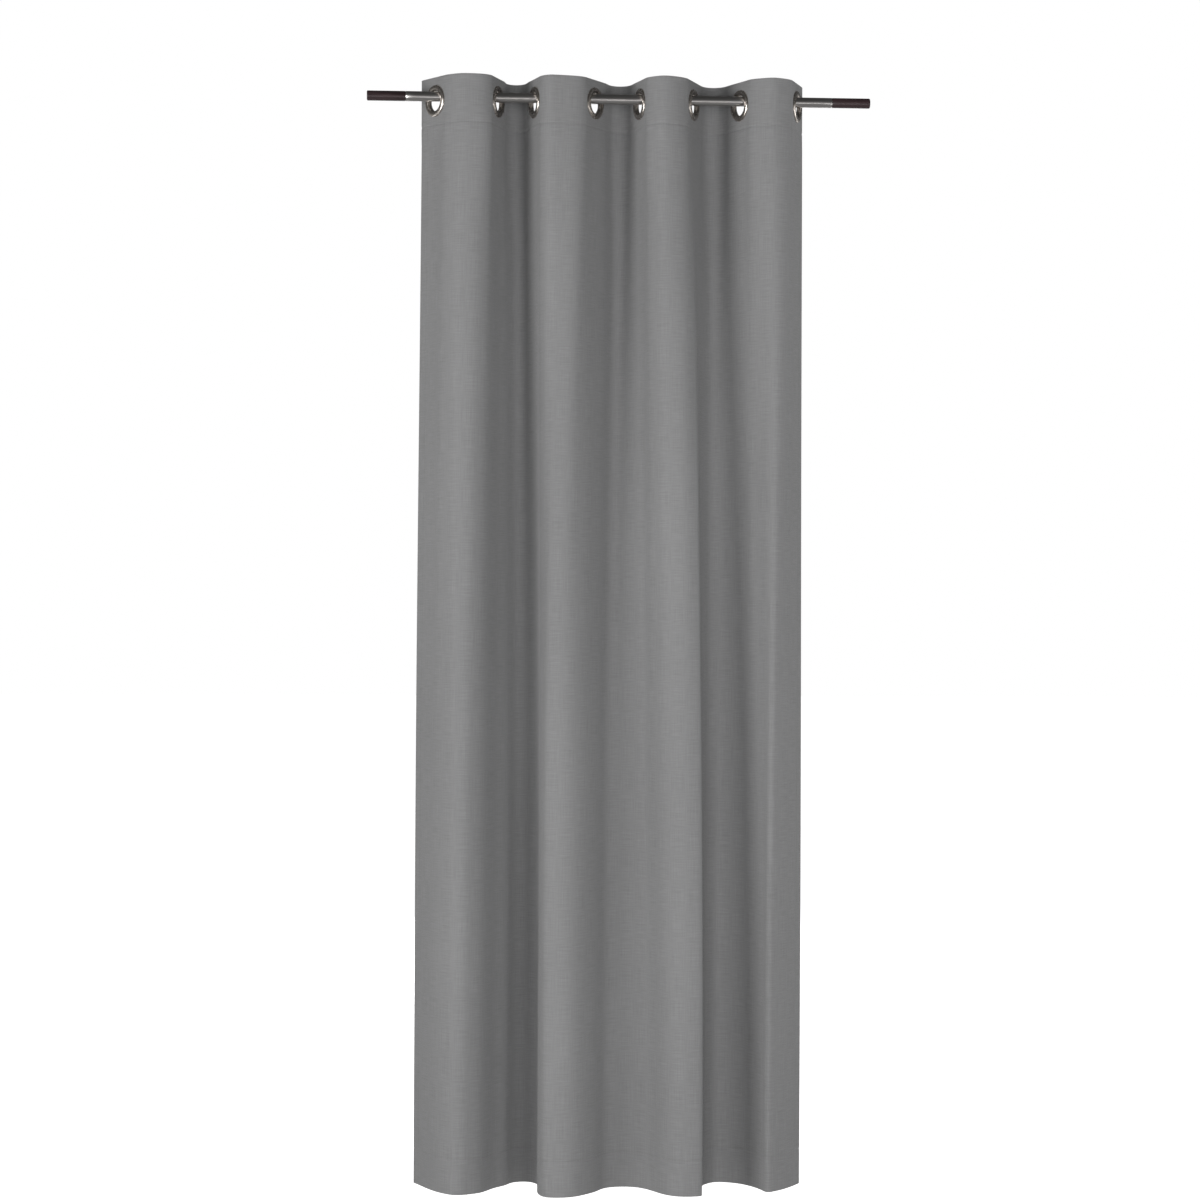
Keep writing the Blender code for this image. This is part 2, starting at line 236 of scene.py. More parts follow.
random = np.random.default_rng(11)
RIPPLES = np.stack(
    [
        random.uniform(3, 11, RIPPLE_COUNT),  # waves in a metre across the cloth
        random.uniform(-0.55, 0.55, RIPPLE_COUNT),  # waves in a metre down it
        random.uniform(0, 6.3, RIPPLE_COUNT),  # phase
    ],
    axis=1,
)


def ripple(s, z):
    """The cloth's small unevenness, in metres to the back: a sum of long slanting waves, a shallow pull down
    from each eyelet, the dents of the stitch lines, the soft folds as bell curves across, and the long
    creases as ridges that fade to each side. The waves fade out where the eyelets clamp the cloth."""
    long_waves = sum(np.sin(2 * np.pi * (a * s + b * z) + c) / a for a, b, c in RIPPLES)
    from_eyelet = np.abs(s[..., None] - EYELET_S).min(axis=-1)
    below = np.clip(HEADING_Z - z, 0, None)
    pull = np.exp(-((from_eyelet / PULL_HALF) ** 2)) * np.exp(-below / PULL_LENGTH) * soft(below, 0.0, 0.05)
    clamp = np.maximum(soft(from_eyelet, FLAT_HALF, CLAMPED_TO), soft(-z, 0.05, 0.11))
    lines = np.array([HEADING_STITCH_Z, HEM_STITCH_Z])
    dents = np.exp(-(((z[..., None] - lines) / DENT_HALF) ** 2)).sum(axis=-1)
    started = soft(below, 0.0, 0.30)
    folds = sum(depth * np.exp(-(((s - at) / half) ** 2)) for at, half, depth in SOFT_FOLDS)
    fallen = below / (HEADING_Z - HEM_Z)
    for top, bottom, height in LONG_CREASES:
        away = np.hypot(s - top - (bottom - top) * fallen, CREASE_ROUND)
        folds = folds - height * np.exp(-away / CREASE_FADE)
    return clamp * RIPPLE_HEIGHT * long_waves + PULL_DEPTH * pull + DENT_DEPTH * dents + started * folds


def hang(s, offset, z):
    """Points of the hanging cloth at distances s, heights z and offsets to the back, as one array.

    In plan the cloth goes from the heading's curve to the hem's as the height falls, sooner near the top, and
    moves along its own normal in plan by the offset and the ripple.
    """
    s, offset, z = np.broadcast_arrays(s, offset, z)
    share = 1 - (1 - np.clip((HEADING_Z - z) / (HEADING_Z - HEM_Z), 0, 1)[..., None]) ** SETTLING
    steps = (-NORMAL_REACH, 0, NORMAL_REACH)
    before, here, after = ((1 - share) * plan(s + d, HEADING) + share * plan(s + d, HEM) for d in steps)
    along = after - before
    along /= np.linalg.norm(along, axis=-1, keepdims=True)
    back = np.stack([-along[..., 1], along[..., 0]], axis=-1)
    return np.concatenate([here + (offset + ripple(s, z))[..., None] * back, z[..., None]], axis=-1)


def new_piece(name, points, faces, shader, uv=None):
    """A mesh object from arrays of points and faces, with an optional UV pair for each point."""
    mesh = bpy.data.meshes.new(name)
    mesh.from_pydata(points.reshape(-1, 3), [], faces.tolist())
    if uv is not None:
        corners = np.empty(len(mesh.loops), np.int32)
        mesh.loops.foreach_get("vertex_index", corners)
        mesh.uv_layers.new(name="flat").data.foreach_set("uv", uv.reshape(-1, 2)[corners].ravel())
    mesh.materials.append(shader.owner)
    mesh.shade_smooth()
    mesh.set_sharp_from_angle(angle=math.radians(50))
    piece = bpy.data.objects.new(name, mesh)
    bpy.context.scene.collection.objects.link(piece)
    return piece


def layer(front, back, kept):
    """Faces of a closed thin layer between two grids of points, for the cells where kept is true: the front
    cells, the back cells turned round, and a wall on every edge between a kept cell and none."""
    rows, columns = front.shape[:2]
    near = np.arange(rows * columns).reshape(rows, columns)
    far = near + rows * columns
    corners = [slice(None, -1), slice(1, None)]

    def quads(cells, order):
        return np.stack([grid[corners[r], corners[c]][cells] for grid, (r, c) in order], axis=-1)

    faces = [
        quads(kept, [(near, corner) for corner in ((0, 0), (1, 0), (1, 1), (0, 1))]),
        quads(kept, [(far, corner) for corner in ((0, 0), (0, 1), (1, 1), (1, 0))]),
    ]
    padded = np.pad(kept, 1)
    for axis, ends in ((0, ((0, 0), (0, 1))), (1, ((1, 0), (0, 0)))):
        for step in (-1, 1):
            open_side = kept & ~np.roll(padded, -step, axis)[1:-1, 1:-1]
            a, b = ends
            if step > 0:
                b, a = [(r + (axis == 0), c + (axis == 1)) for r, c in ends]
            faces.append(quads(open_side, [(near, a), (near, b), (far, b), (far, a)]))
    return np.concatenate(faces)


def with_cloth(piece):
    """The piece rides with the parked edge of the cloth and closes up with it along the rod."""
    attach(piece, LAST_BODY)
    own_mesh(piece)


class Socket:
    """A shader socket that Python's operators work on: each adds one Math node."""

    def __init__(self, shader, socket):
        self.shader, self.socket = shader, socket

    def worked(self, operation, *values):
        return self.shader.node("ShaderNodeMath", {"operation": operation}, *values)

    def sine(self):
        return self.worked("SINE", self)

    def __add__(self, other):
        return self.worked("ADD", self, other)

    def __sub__(self, other):
        return self.worked("SUBTRACT", self, other)

    def __mul__(self, other):
        return self.worked("MULTIPLY", self, other)

    def __rsub__(self, other):
        return self.worked("SUBTRACT", other, self)

    __radd__ = __add__
    __rmul__ = __mul__


class Shader:
    """The nodes of a material, or of the world, under construction.

    node() adds any node: settings first, then its inputs by place or name, with _ for a space. feed() sets
    the inputs of the last node, to which all the others lead.
    """

    def __init__(self, owner, last="Principled BSDF", **constants):
        owner.use_nodes = True
        self.owner, self.tree = owner, owner.node_tree
        self.last = self.tree.nodes[last]
        self.feed(**constants)

    def set(self, node, inputs):
        for key, value in inputs.items():
            socket = node.inputs[key.replace("_", " ") if isinstance(key, str) else key]
            if isinstance(value, Socket):
                self.tree.links.new(value.socket, socket)
            else:
                socket.default_value = value

    def set_stops(self, ramp, stops):
        while len(ramp.elements) < len(stops):
            ramp.elements.new(0.5)
        for element, (place, colour) in zip(ramp.elements, stops):
            element.position = place
            element.color = (*colour, 1)

    def node(self, kind, settings, *values, out=0, **inputs):
        made = self.tree.nodes.new(kind)
        for key, value in settings.items():
            if key == "stops":
                self.set_stops(made.color_ramp, value)
            else:
                setattr(made, key, value)
        self.set(made, {**dict(enumerate(values)), **inputs})
        return Socket(self, made.outputs[out])

    def feed(self, **inputs):
        self.set(self.last, inputs)

    def ramp(self, factor, *stops):
        """The factor turned into a colour, by stops of (factor, colour)."""
        return self.node("ShaderNodeValToRGB", {"stops": stops}, factor)

    def noise(self, source, scale, detail=2.0, roughness=0.5):
        """Noise over the source coordinates, each axis times its own scale."""
        vector = self.node("ShaderNodeMapping", {"vector_type": "POINT"}, Vector=source, Scale=scale)
        return self.node(
            "ShaderNodeTexNoise", {}, Vector=vector, Scale=1.0, Detail=detail, Roughness=roughness
        )

    def bump(self, height, distance, strength=1.0):
        return self.node("ShaderNodeBump", {}, Height=height, Distance=distance, Strength=strength)


WEAVE_PITCH = 1.1 * MM


def cloth_shader(name, low, high, slub):
    """Woven cloth on the flat cloth's coordinates: fat threads now and then both ways, and a plain weave."""
    made = Shader(
        bpy.data.materials.new(name),
        Roughness=0.9,
        Sheen_Weight=0.18,
        Sheen_Roughness=0.45,
        Specular_IOR_Level=0.2,
    )
    flat = made.node("ShaderNodeUVMap", {"uv_map": "flat"})
    weft = made.noise(flat, (26, 620, 1), 3.0, 0.6)
    warp = made.noise(flat, (700, 16, 1), 3.0, 0.6)
    cloud = made.noise(flat, (2.2, 1.4, 1), 2.0)
    tone = 0.5 + (weft - 0.5) * slub + (warp - 0.5) * slub * 0.8 + (cloud - 0.5) * 0.35
    made.feed(Base_Color=made.ramp(tone, (0.2, low), (0.8, high)))
    across, down = (
        made.node("ShaderNodeSeparateXYZ", {}, flat, out=axis) * (2 * math.pi / WEAVE_PITCH) for axis in "XY"
    )
    height = across.sine() * down.sine() * 0.35 + weft * 0.9 + warp * 0.8
    made.feed(Normal=made.bump(height, 0.25 * MM, 0.55))
    return made


CLOTH = cloth_shader("grey weave", (0.155, 0.155, 0.156), (0.225, 0.225, 0.226), 0.85)

FACE_ROWS, HEADING_ROWS = 120, 24
HEM_BACK_ROWS, HEADING_BACK_ROWS = 8, 20
CLOTH_COLUMNS = 231


def merged(*parts, apart=0.0):
    """The values of all the parts as one rising list, less those that lie too near the one before."""
    values = np.unique(np.concatenate(parts))
    return values[np.concatenate([[True], np.diff(values) > apart])]


def level_rows(offset, z, way):
    """Rows at the heights z and one offset, facing the back for way 1 and the front for way -1."""
    return np.stack([0 * z + offset, z, 0 * z + way, 0 * z], axis=1)


def fold_rows(radius, z, way):
    """Rows round half a circle that starts or ends on the face: below z with way 1, above z with -1."""
    turn = np.linspace(0, np.pi, 9)
    out, up = way * np.cos(turn), -way * np.sin(turn)
    return np.stack([radius + radius * out, z + radius * up, out, up], axis=1)


def turned_profile():
    """The cloth's path from the heading's edge behind, over the top fold, down the face, round the bottom
    fold and up behind, as rows of (offset, z, outward normal). The folds are half circles."""
    half = CLOTH_THICK / 2
    bottom, top = HEM_BACK / 2, HEADING_BACK / 2
    low, high = HEM_Z + bottom + half, TOP_Z - top - half
    beside = np.array([-4, -2.4, -1.2, 0, 1.2, 2.4, 4]) * MM
    face = merged(
        np.linspace(low, high, FACE_ROWS),
        np.linspace(HEADING_Z - 0.02, high, HEADING_ROWS),
        HEM_STITCH_Z + beside,
        HEADING_STITCH_Z + beside,
        apart=0.6 * MM,
    )
    up = merged(np.linspace(low, HEM_Z + HEM_DEPTH, HEM_BACK_ROWS)[1:], HEM_STITCH_Z + beside[1:5])
    down = merged(np.linspace(HEADING_Z, high, HEADING_BACK_ROWS)[:-1], HEADING_STITCH_Z + beside[2:6])
    rows = [
        level_rows(HEM_BACK, up[::-1], 1),
        fold_rows(bottom, low, 1),
        level_rows(0, face, -1)[1:-1],
        fold_rows(top, high, -1),
        level_rows(HEADING_BACK, down[::-1], 1),
    ]
    return np.concatenate(rows)[::-1]


def cut_for_eyelets(s, z, radius):
    """True for the cells of a grid of distances and heights whose middle is outside every eyelet's hole."""
    middle_s = (s[1:] + s[:-1]) / 2
    middle_z = (z[1:] + z[:-1]) / 2
    apart = np.hypot(middle_s[None, :, None] - EYELET_S, (middle_z - RING_Z)[:, None, None])
    return (apart > radius).all(axis=-1)


def panel():
    """The whole cloth: the turned profile carried along the cloth's width, with a hole for each eyelet."""
    rows = turned_profile()
    edge = np.array([0, 1, 2.5]) * MM
    seam = SIDE_HEM + np.array([-3, -1.2, 0, 1.2, 3]) * MM
    even = np.linspace(0, PANEL_WIDTH, CLOTH_COLUMNS)
    s = merged(even, edge, PANEL_WIDTH - edge, seam, PANEL_WIDTH - seam, apart=0.4 * MM)
    offset, z, out_offset, out_z = (rows[:, i, None] for i in range(4))
    half = CLOTH_THICK / 2
    outer = hang(s[None, :], offset + half * out_offset, z + half * out_z)
    inner = hang(s[None, :], offset - half * out_offset, z - half * out_z)
    kept = cut_for_eyelets(s, rows[:, 1], EYELET_CUT)
    length = np.concatenate([[0], np.cumsum(np.hypot(np.diff(rows[:, 0]), np.diff(rows[:, 1])))])
    uv = np.stack(np.broadcast_arrays(s[None, :], length[:, None]), axis=-1)
    points = np.concatenate([outer.reshape(-1, 3), inner.reshape(-1, 3)])
    return new_piece("cloth_panel", points, layer(outer, inner, kept), CLOTH, np.concatenate([uv, uv]))


cloth_panel = panel()
CLOTH_NODES = [node for node in frame["nodes"] if node.startswith(("cloth_heading", "cloth_fall"))]
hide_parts(*CLOTH_NODES)

# -------------------------------------------------------------------------------------------------- stiffener
# A band of stiff white buckram inside the heading, between the face of the cloth and its turned-over top. It
# keeps the waves round and the eyelets upright. Only its edges show, in the holes and at the sides.

STIFFENER_BACK = 0.00105
STIFFENER_THICK = 0.0009
STIFFENER_COLUMNS, STIFFENER_ROWS = 210, 21

buckram = Shader(bpy.data.materials.new("buckram"), Roughness=0.95)
grain = buckram.noise(buckram.node("ShaderNodeUVMap", {"uv_map": "flat"}), (900, 900, 1))
buckram.feed(Base_Color=buckram.ramp(grain, (0.3, (0.42, 0.42, 0.41)), (0.7, (0.55, 0.55, 0.53))))
buckram.feed(Normal=buckram.bump(grain, 0.2 * MM))


def band(name, s, z, offset, thick, kept, shader):
    """A layer of the hanging cloth's shape over the distances s and the falling heights z."""
    outer = hang(s[None, :], offset - thick / 2, z[:, None])
    inner = hang(s[None, :], offset + thick / 2, z[:, None])
    uv = np.stack(np.broadcast_arrays(s[None, :], z[:, None]), axis=-1)
    points = np.concatenate([outer.reshape(-1, 3), inner.reshape(-1, 3)])
    return new_piece(name, points, layer(outer, inner, kept), shader, np.concatenate([uv, uv]))


band_s = np.linspace(2 * MM, PANEL_WIDTH - 2 * MM, STIFFENER_COLUMNS)
band_z = np.linspace(TOP_Z - 3 * MM, HEADING_STITCH_Z, STIFFENER_ROWS)
band_kept = cut_for_eyelets(band_s, band_z, EYELET_CUT)
stiffener = band("heading_stiffener", band_s, band_z, STIFFENER_BACK, STIFFENER_THICK, band_kept, buckram)
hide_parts(*[f"heading_tape_{k + 1}" for k in range(EYELETS)])

# -------------------------------------------------------------------------------------------------- side hems
# Both side edges of the cloth are turned to the back and stitched down, from the heading to the bottom hem.
# Each hem is one more layer of the same cloth behind the face.

SIDE_HEM_COLUMNS, SIDE_HEM_ROWS = 8, 110


def side_hem(name, first, last):
    """One side's turned-back cloth over the distances first to last, from the heading down to the hem."""
    s = np.linspace(first, last, SIDE_HEM_COLUMNS)
    z = np.linspace(HEADING_Z - 2 * MM, HEM_Z + HEM_DEPTH + 2 * MM, SIDE_HEM_ROWS)
    return band(name, s, z, HEM_BACK, CLOTH_THICK, np.ones((len(z) - 1, len(s) - 1), bool), CLOTH)


side_hems = [
    side_hem("side_hem_left", 0.3 * MM, SIDE_HEM + 2 * MM),
    side_hem("side_hem_right", PANEL_WIDTH - SIDE_HEM - 2 * MM, PANEL_WIDTH - 0.3 * MM),
]

# -------------------------------------------------------------------------------------------------- stitching
# Grey sewing thread. One lockstitch line holds the heading down, one the bottom hem and one each side hem.
# Each stitch is a short round bead of thread that dips into the cloth at both ends, on the face and behind.

STITCH_PITCH = 0.0036
STITCH_LENGTH = 0.0028
STITCH_MARGIN = 4 * MM  # the lines end this far from the cloth's edges
THREAD_RADIUS = 0.00028
BEAD_RINGS, BEAD_SIDES = 5, 6
BEAD_END = 0.96  # a bead is cut off this far along its half length, where it is in the cloth

thread = Shader(bpy.data.materials.new("sewing thread"), Roughness=0.7, Sheen_Weight=0.3)
ply = thread.noise(thread.node("ShaderNodeTexCoord", {}, out="Object"), (700, 700, 700))
thread.feed(Base_Color=thread.ramp(ply, (0.3, (0.09, 0.09, 0.09)), (0.7, (0.16, 0.16, 0.16))))


def bead():
    """One stitch on a grid of rings by sides: (along, across, out), with radius falling to the ends as the
    square root of 1 minus the distance squared."""
    u = np.linspace(-BEAD_END, BEAD_END, BEAD_RINGS)
    a = np.arange(BEAD_SIDES) * 2 * np.pi / BEAD_SIDES
    radius = THREAD_RADIUS * np.sqrt(1 - u**2)[:, None]
    along = np.broadcast_to(u[:, None] * STITCH_LENGTH / 2, (BEAD_RINGS, BEAD_SIDES))
    return np.stack([along, radius * np.cos(a), radius * np.sin(a)], axis=-1)


def bead_faces():
    """The bead's sides as quads and its two six-sided ends as two quads each."""
    grid = np.arange(BEAD_RINGS * BEAD_SIDES).reshape(BEAD_RINGS, BEAD_SIDES)
    turned = np.roll(grid, -1, axis=1)
    sides = np.stack([grid[:-1], grid[1:], turned[1:], turned[:-1]], axis=-1).reshape(-1, 4)
    first, last = grid[0], grid[-1]
    return np.concatenate([sides, first[[[0, 1, 2, 3], [0, 3, 4, 5]]], last[[[0, 3, 2, 1], [0, 5, 4, 3]]]])


def stitches(name, s, z, offset, along_width):
    """A bead at every (s, z) of a stitch line on the cloth, lying along its width or its height."""
    shape, faces = bead(), bead_faces()
    first, second = (shape[..., 0], shape[..., 1]) if along_width else (-shape[..., 1], shape[..., 0])
    s, z = s[:, None, None], z[:, None, None]
    points = hang(s + first, offset + 0 * s + shape[..., 2], z + second)
    shift = BEAD_RINGS * BEAD_SIDES * np.arange(len(s))[:, None, None]
    return new_piece(name, points, (faces + shift).reshape(-1, 4), thread)


def stitch_rows(name, s, z, along_width, back):
    """The beads of one line on the face, and those behind, on the layer at the offset back."""
    half = CLOTH_THICK / 2
    face = stitches(f"{name}_face", s, z, -half, along_width)
    behind = stitches(f"{name}_back", s, z, back + half, along_width)
    return [face, behind]


across = np.arange(STITCH_MARGIN, PANEL_WIDTH - STITCH_MARGIN, STITCH_PITCH)
upright = np.arange(HEM_Z + HEM_DEPTH + STITCH_MARGIN, HEADING_Z - STITCH_MARGIN, STITCH_PITCH)
stitching = stitch_rows("heading_stitches", across, 0 * across + HEADING_STITCH_Z, True, HEADING_BACK)
stitching += stitch_rows("hem_stitches", across, 0 * across + HEM_STITCH_Z, True, HEM_BACK)
stitching += stitch_rows("left_stitches", 0 * upright + SIDE_HEM, upright, False, HEM_BACK)
stitching += stitch_rows("right_stitches", 0 * upright + PANEL_WIDTH - SIDE_HEM, upright, False, HEM_BACK)

for piece in [cloth_panel] + side_hems:
    with_cloth(piece)
for piece in [stiffener] + stitching:
    with_cloth(piece)

# ---------------------------------------------------------------------------------------------------- eyelets
# Eight two-part snap eyelets of satin nickel. The domed front ring has a neck that goes through the cloth and
# clips into the flat ring behind. The rod runs through all eight, and they hang on its top.

HOLE_RADIUS = 0.022
NECK_WALL = 0.0014
FLANGE_HEIGHT = 0.0046
DOME_POWER = 2.3
SEAT = 0.00045  # the front ring presses on the cloth's face
BACK_SEAT = -0.00275
BACK_HEIGHT = 0.0022
BACK_RADIUS = 0.034
BACK_CORNER = 1.5 * MM
SMALL_EDGE = 0.3 * MM
LIP = 0.4 * MM
RING_SIDES = 112

nickel = Shader(bpy.data.materials.new("satin nickel"), Metallic=1.0)
here = nickel.node("ShaderNodeTexCoord", {}, out="Object")
scuff = nickel.noise(here, (160, 160, 160), 4.0)
lines = nickel.noise(here, (60, 60, 2400), 2.0)
nickel.feed(Base_Color=nickel.ramp(scuff, (0.25, (0.50, 0.455, 0.41)), (0.75, (0.68, 0.635, 0.59))))
nickel.feed(Roughness=0.17 + scuff * 0.16)
nickel.feed(Normal=nickel.bump(lines, 0.02 * MM, 0.25))


def turned(profile, sides, poles=False):
    """Points and faces of a profile of (radius, height) turned about X, with the height along X. The point at
    angle a is (height, radius sin a, radius cos a). The profile closes on itself or, with poles, each of its
    ends is closed by quads of two sides each round a point on the axis."""
    radius, height = np.array(profile).T
    a = np.arange(sides) * 2 * np.pi / sides
    along = np.broadcast_to(height[:, None], (len(height), sides))
    places = [along, radius[:, None] * np.sin(a), radius[:, None] * np.cos(a)]
    points = np.stack(places, axis=-1).reshape(-1, 3)
    grid = np.arange(len(height) * sides).reshape(len(height), sides)
    on, up = np.roll(grid, -1, axis=1), np.roll(grid, -1, axis=0)
    faces = np.stack([grid, up, np.roll(up, -1, axis=1), on], axis=-1)
    if not poles:
        return points, faces.reshape(-1, 4)
    fans = []
    for ring, pole, order in ((grid[0], len(points), (0, 1, 2)), (grid[-1], len(points) + 1, (2, 1, 0))):
        fans.append(np.stack([0 * ring[::2] + pole] + [np.roll(ring, -k)[::2] for k in order], axis=-1))
    points = np.concatenate([points, [[height[0], 0, 0], [height[-1], 0, 0]]])
    return points, np.concatenate([faces[:-1].reshape(-1, 4)] + fans)


def front_profile():
    """Round the front ring's section: the neck's end, its outside, the flange's seat, then over the dome,
    whose height is a superellipse between the rim and the hole, and back down the hole."""
    middle, half = (RING_RADIUS + HOLE_RADIUS) / 2, (RING_RADIUS - HOLE_RADIUS) / 2
    t = np.linspace(0, np.pi, 33)[1:-1]
    power = 2 / DOME_POWER
    dome_radius = middle + half * np.sign(np.cos(t)) * np.abs(np.cos(t)) ** power
    dome_height = SEAT + FLANGE_HEIGHT * np.sin(t) ** power
    end = BACK_SEAT - BACK_HEIGHT
    neck = HOLE_RADIUS + NECK_WALL
    start = [(HOLE_RADIUS + LIP, end - LIP), (neck, end - LIP), (neck + LIP, end), (neck, end + LIP)]
    rim = [(neck, SEAT), (RING_RADIUS - SMALL_EDGE, SEAT), (RING_RADIUS, SEAT + SMALL_EDGE)]
    hole = [(HOLE_RADIUS, SEAT), (HOLE_RADIUS, end + LIP)]
    return start + rim + list(zip(dome_radius, dome_height)) + hole


def rounded(radius, height, corner, start):
    """Nine points of a quarter circle of radius corner about (radius, height), from the angle start."""
    turns = np.linspace(start, start + np.pi / 2, 9)
    return [(radius + corner * math.cos(a), height + corner * math.sin(a)) for a in turns]


def back_profile():
    """Round the back ring's section: out along its back, which dips to the clip edge round the neck, up the
    rounded rim and in along the seat."""
    inner, low = HOLE_RADIUS + NECK_WALL + 0.6 * MM, BACK_SEAT - BACK_HEIGHT
    back = [(inner + 1.5 * MM, low + 0.5 * MM), (inner + 3 * MM, low)]
    rim = rounded(BACK_RADIUS - BACK_CORNER, low + BACK_CORNER, BACK_CORNER, -np.pi / 2)
    seat = [(BACK_RADIUS - SMALL_EDGE, BACK_SEAT), (inner, BACK_SEAT), (inner, BACK_SEAT - SMALL_EDGE)]
    return back + rim + seat


def eyelet_facing(k):
    """The angle in plan of eyelet k's axis: square to the cloth where the eyelet clamps it."""
    ends = plan(EYELET_S[k] + np.array([-5, 5]) * MM, HEADING)
    along = ends[1] - ends[0]
    return math.atan2(along[1], along[0]) - math.pi / 2


def ring(name, k, profile, body):
    """One ring of eyelet k: its profile turned about the eyelet's axis, riding on the eyelet's body."""
    points, faces = turned(profile, RING_SIDES)
    a = eyelet_facing(k)
    spin = np.array([[math.cos(a), math.sin(a), 0], [-math.sin(a), math.cos(a), 0], [0, 0, 1]])
    points = points @ spin + np.array([EYELET_X[k], 0, RING_Z])
    piece = new_piece(name, points, faces, nickel)
    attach(piece, body)
    return piece


rings = []
for k in range(EYELETS):
    front = ring(f"eyelet_ring_front_{k + 1}", k, front_profile(), f"eyelet_{k + 1}")
    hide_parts(f"eyelet_front_{k + 1}")
    back = ring(f"eyelet_ring_back_{k + 1}", k, back_profile(), f"eyelet_{k + 1}")
    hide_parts(f"eyelet_back_{k + 1}")
    rings += [front, back]

# -------------------------------------------------------------------------------------------------------- rod
# A straight tube of brushed stainless steel, 22 mm across, cut square with a slight bevel at each end. The
# eyelets hang on it, and its bore takes the end caps' plugs.

TUBE_WALL = 0.0012
TUBE_STEPS = 40
ROD_SIDES = 96

low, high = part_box("rod_tube")
TUBE_HALF = (high[0] - low[0]) / 2
ROD_RADIUS = (high[2] - low[2]) / 2
BORE_RADIUS = ROD_RADIUS - TUBE_WALL

steel = Shader(bpy.data.materials.new("brushed steel"), Metallic=1.0)
place = steel.node("ShaderNodeTexCoord", {}, out="Object")
drawn = steel.noise(place, (5, 1500, 1500), 3.0, 0.6)
patches = steel.noise(place, (9, 60, 60), 3.0)
steel.feed(Base_Color=steel.ramp(drawn, (0.25, (0.46, 0.44, 0.43)), (0.75, (0.62, 0.60, 0.585))))
steel.feed(Roughness=0.20 + drawn * 0.10 + patches * 0.10)
steel.feed(Normal=steel.bump(drawn, 0.03 * MM, 0.3))


def tube_profile():
    """Round the tube's wall: its left end, the outside in steps, its right end and back along the bore."""
    edge = SMALL_EDGE
    outside = np.linspace(-TUBE_HALF + edge, TUBE_HALF - edge, TUBE_STEPS)
    left = [(BORE_RADIUS + edge, -TUBE_HALF), (ROD_RADIUS - edge, -TUBE_HALF)]
    right = [(ROD_RADIUS - edge, TUBE_HALF), (BORE_RADIUS + edge, TUBE_HALF)]
    bore = [(BORE_RADIUS, TUBE_HALF - edge), (BORE_RADIUS, -TUBE_HALF + edge)]
    return left + [(ROD_RADIUS, x) for x in outside] + right + bore


points, faces = turned(tube_profile(), ROD_SIDES)
rod_tube = new_piece("rod_steel_tube", points, faces, steel)
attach(rod_tube, "rod")
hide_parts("rod_tube")

# --------------------------------------------------------------------------------------------------- end caps
# Satin dark-brown caps as thick as the tube, one in each end. Each is turned in one piece with a slim shadow
# groove beside the tube, a rounded end and a plug that is a push fit in the bore.

CAP_PLUG = 0.030
CAP_GAP = 0.0003
CAP_CORNER = 2.2 * MM
NOSE_EDGE = 1.2 * MM
GROOVE_DEPTH = 0.5 * MM

dark = Shader(bpy.data.materials.new("dark satin lacquer"), Coat_Weight=0.25, Coat_Roughness=0.2)
streak = dark.noise(dark.node("ShaderNodeTexCoord", {}, out="Object"), (14, 260, 260), 4.0, 0.6)
dark.feed(Base_Color=dark.ramp(streak, (0.3, (0.016, 0.009, 0.010)), (0.75, (0.042, 0.024, 0.026))))
dark.feed(Roughness=0.28 + streak * 0.2)
dark.feed(Normal=dark.bump(streak, 0.04 * MM, 0.3))


def cap_profile(reach_out):
    """Round the cap's section from the plug's nose, along the plug, past the groove and round the end."""
    plug = BORE_RADIUS - CAP_GAP
    groove = ROD_RADIUS - GROOVE_DEPTH
    nose = [(plug - NOSE_EDGE, -CAP_PLUG), (plug, -CAP_PLUG + NOSE_EDGE), (plug, CAP_GAP)]
    step = [(groove, CAP_GAP), (groove, 1.3 * MM), (ROD_RADIUS, 1.8 * MM), (ROD_RADIUS, reach_out / 2)]
    end = rounded(ROD_RADIUS - CAP_CORNER, reach_out - CAP_CORNER, CAP_CORNER, 0)
    return nose + step + end + [(ROD_RADIUS - CAP_CORNER - MM, reach_out)]


for side, node in ((-1, "end_cap_left"), (1, "end_cap_right")):
    low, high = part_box(node)
    outer_end = high[0] if side > 0 else -low[0]
    points, faces = turned(cap_profile(outer_end - TUBE_HALF), ROD_SIDES, poles=True)
    points[:, 0] = side * (points[:, 0] + TUBE_HALF)
    if side < 0:
        faces = faces[:, ::-1]
    cap = new_piece(f"{node}_turned", points, faces, dark)
    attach(cap, node)
    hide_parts(node)

# ------------------------------------------------------------------------------------------------------- room
# A pale floor, soft lights from the left, the right, the front and behind, and dim light all round that is
# brighter from below, seen from the middle of the curtain's height.

FLOOR_Z = HEM_Z - 0.012
FLOOR_HALF = 30
FLOOR_LINES = 7

paper = Shader(
    bpy.data.materials.new("pale floor"), Roughness=0.9, Emission_Color=(1, 1, 1, 1), Emission_Strength=1.0
)
line = np.linspace(-FLOOR_HALF, FLOOR_HALF, FLOOR_LINES)
grid = np.stack(np.broadcast_arrays(line[None, :], line[:, None], FLOOR_Z), axis=-1)
index = np.arange(FLOOR_LINES**2).reshape(FLOOR_LINES, FLOOR_LINES)
tiles = np.stack([index[:-1, :-1], index[:-1, 1:], index[1:, 1:], index[1:, :-1]], axis=-1).reshape(-1, 4)
floor = new_piece("floor", grid, tiles, paper)
floor.visible_diffuse = False
floor.visible_glossy = False

# brightness all round from straight down, 0, to straight up, 1
SKY_LEVELS = ((0.0, 0.26), (0.26, 0.28), (0.29, 4.0), (0.32, 0.32), (0.50, 0.34), (0.56, 0.10), (1.0, 0.06))

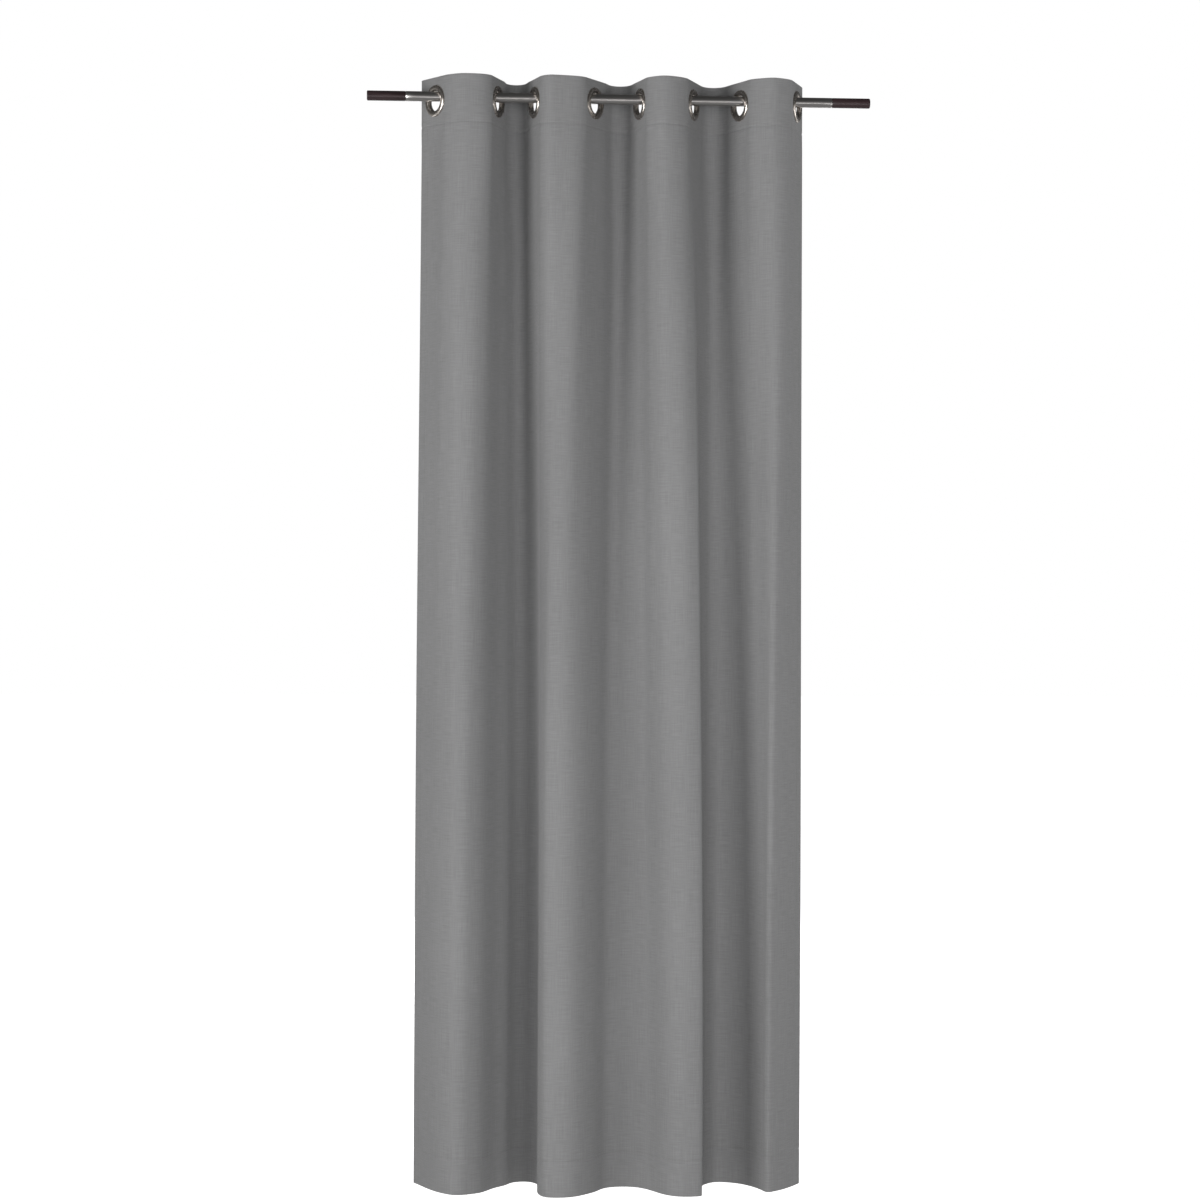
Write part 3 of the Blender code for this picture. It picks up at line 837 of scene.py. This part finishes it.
sky = Shader(bpy.data.worlds.new("studio"), "World Output")
sky.tree.nodes.remove(sky.tree.nodes["Background"])
bpy.context.scene.world = sky.owner
direction = sky.node("ShaderNodeTexCoord", {}, out="Generated")
upward = sky.node("ShaderNodeSeparateXYZ", {}, direction, out="Z")
rising = sky.node("ShaderNodeMapRange", {}, upward, From_Min=-1)
glow = sky.ramp(rising, *((height, (level,) * 3) for height, level in SKY_LEVELS))
seen = sky.node("ShaderNodeLightPath", {}, out="Is Camera Ray")
ambient = sky.node("ShaderNodeBackground", {}, glow)
white = sky.node("ShaderNodeBackground", {}, (1, 1, 1, 1))
sky.feed(Surface=sky.node("ShaderNodeMixShader", {}, seen, ambient, white))


def area_light(name, place, look_at, size, power):
    """A flat lamp at the place, turned to the point that it looks at."""
    lamp = bpy.data.lights.new(name, "AREA")
    lamp.shape = "RECTANGLE"
    lamp.size, lamp.size_y = size
    lamp.energy = power
    made = bpy.data.objects.new(name, lamp)
    bpy.context.scene.collection.objects.link(made)
    made.location = place
    away = np.array(place) - np.array(look_at)
    tilt = math.acos(away[2] / np.linalg.norm(away))
    made.rotation_euler = (tilt, 0, math.atan2(away[1], away[0]) + math.pi / 2)
    return made


area_light("key", (-4.35, -2.85, -1.1), (0, 0, -1.1), (1.8, 2.8), 165)
area_light("far right", (5.2, -0.45, -1.2), (0, 0, -1.2), (1.8, 2.8), 66)
fills = [
    area_light("front", (-0.72, -5.15, -0.8), (0, 0, -0.8), (1.8, 2.8), 112),
    area_light("right", (1.54, -4.23, -1.6), (0, 0, -1.6), (1.8, 2.4), 96),
    area_light("behind", (-1.4, 5.0, -0.9), (0, 0, -1.1), (2.4, 2.8), 240),
]
for lamp in fills:
    lamp.visible_glossy = False  # even light on the cloth with no broad glare on the metal

EYE_DISTANCE = 6.2
EYE_TURN = math.radians(4.0)
EYE_HEIGHT = -1.09
camera = bpy.data.objects.new("camera", bpy.data.cameras.new("camera"))
bpy.context.scene.collection.objects.link(camera)
bpy.context.scene.camera = camera
camera.data.sensor_width = 36
camera.data.lens = 84.2
camera.location = (-EYE_DISTANCE * math.sin(EYE_TURN), -EYE_DISTANCE * math.cos(EYE_TURN), EYE_HEIGHT)
camera.rotation_euler = (math.radians(89.86), math.radians(-0.3), math.radians(-3.65))
bpy.context.scene.view_settings.view_transform = "Standard"
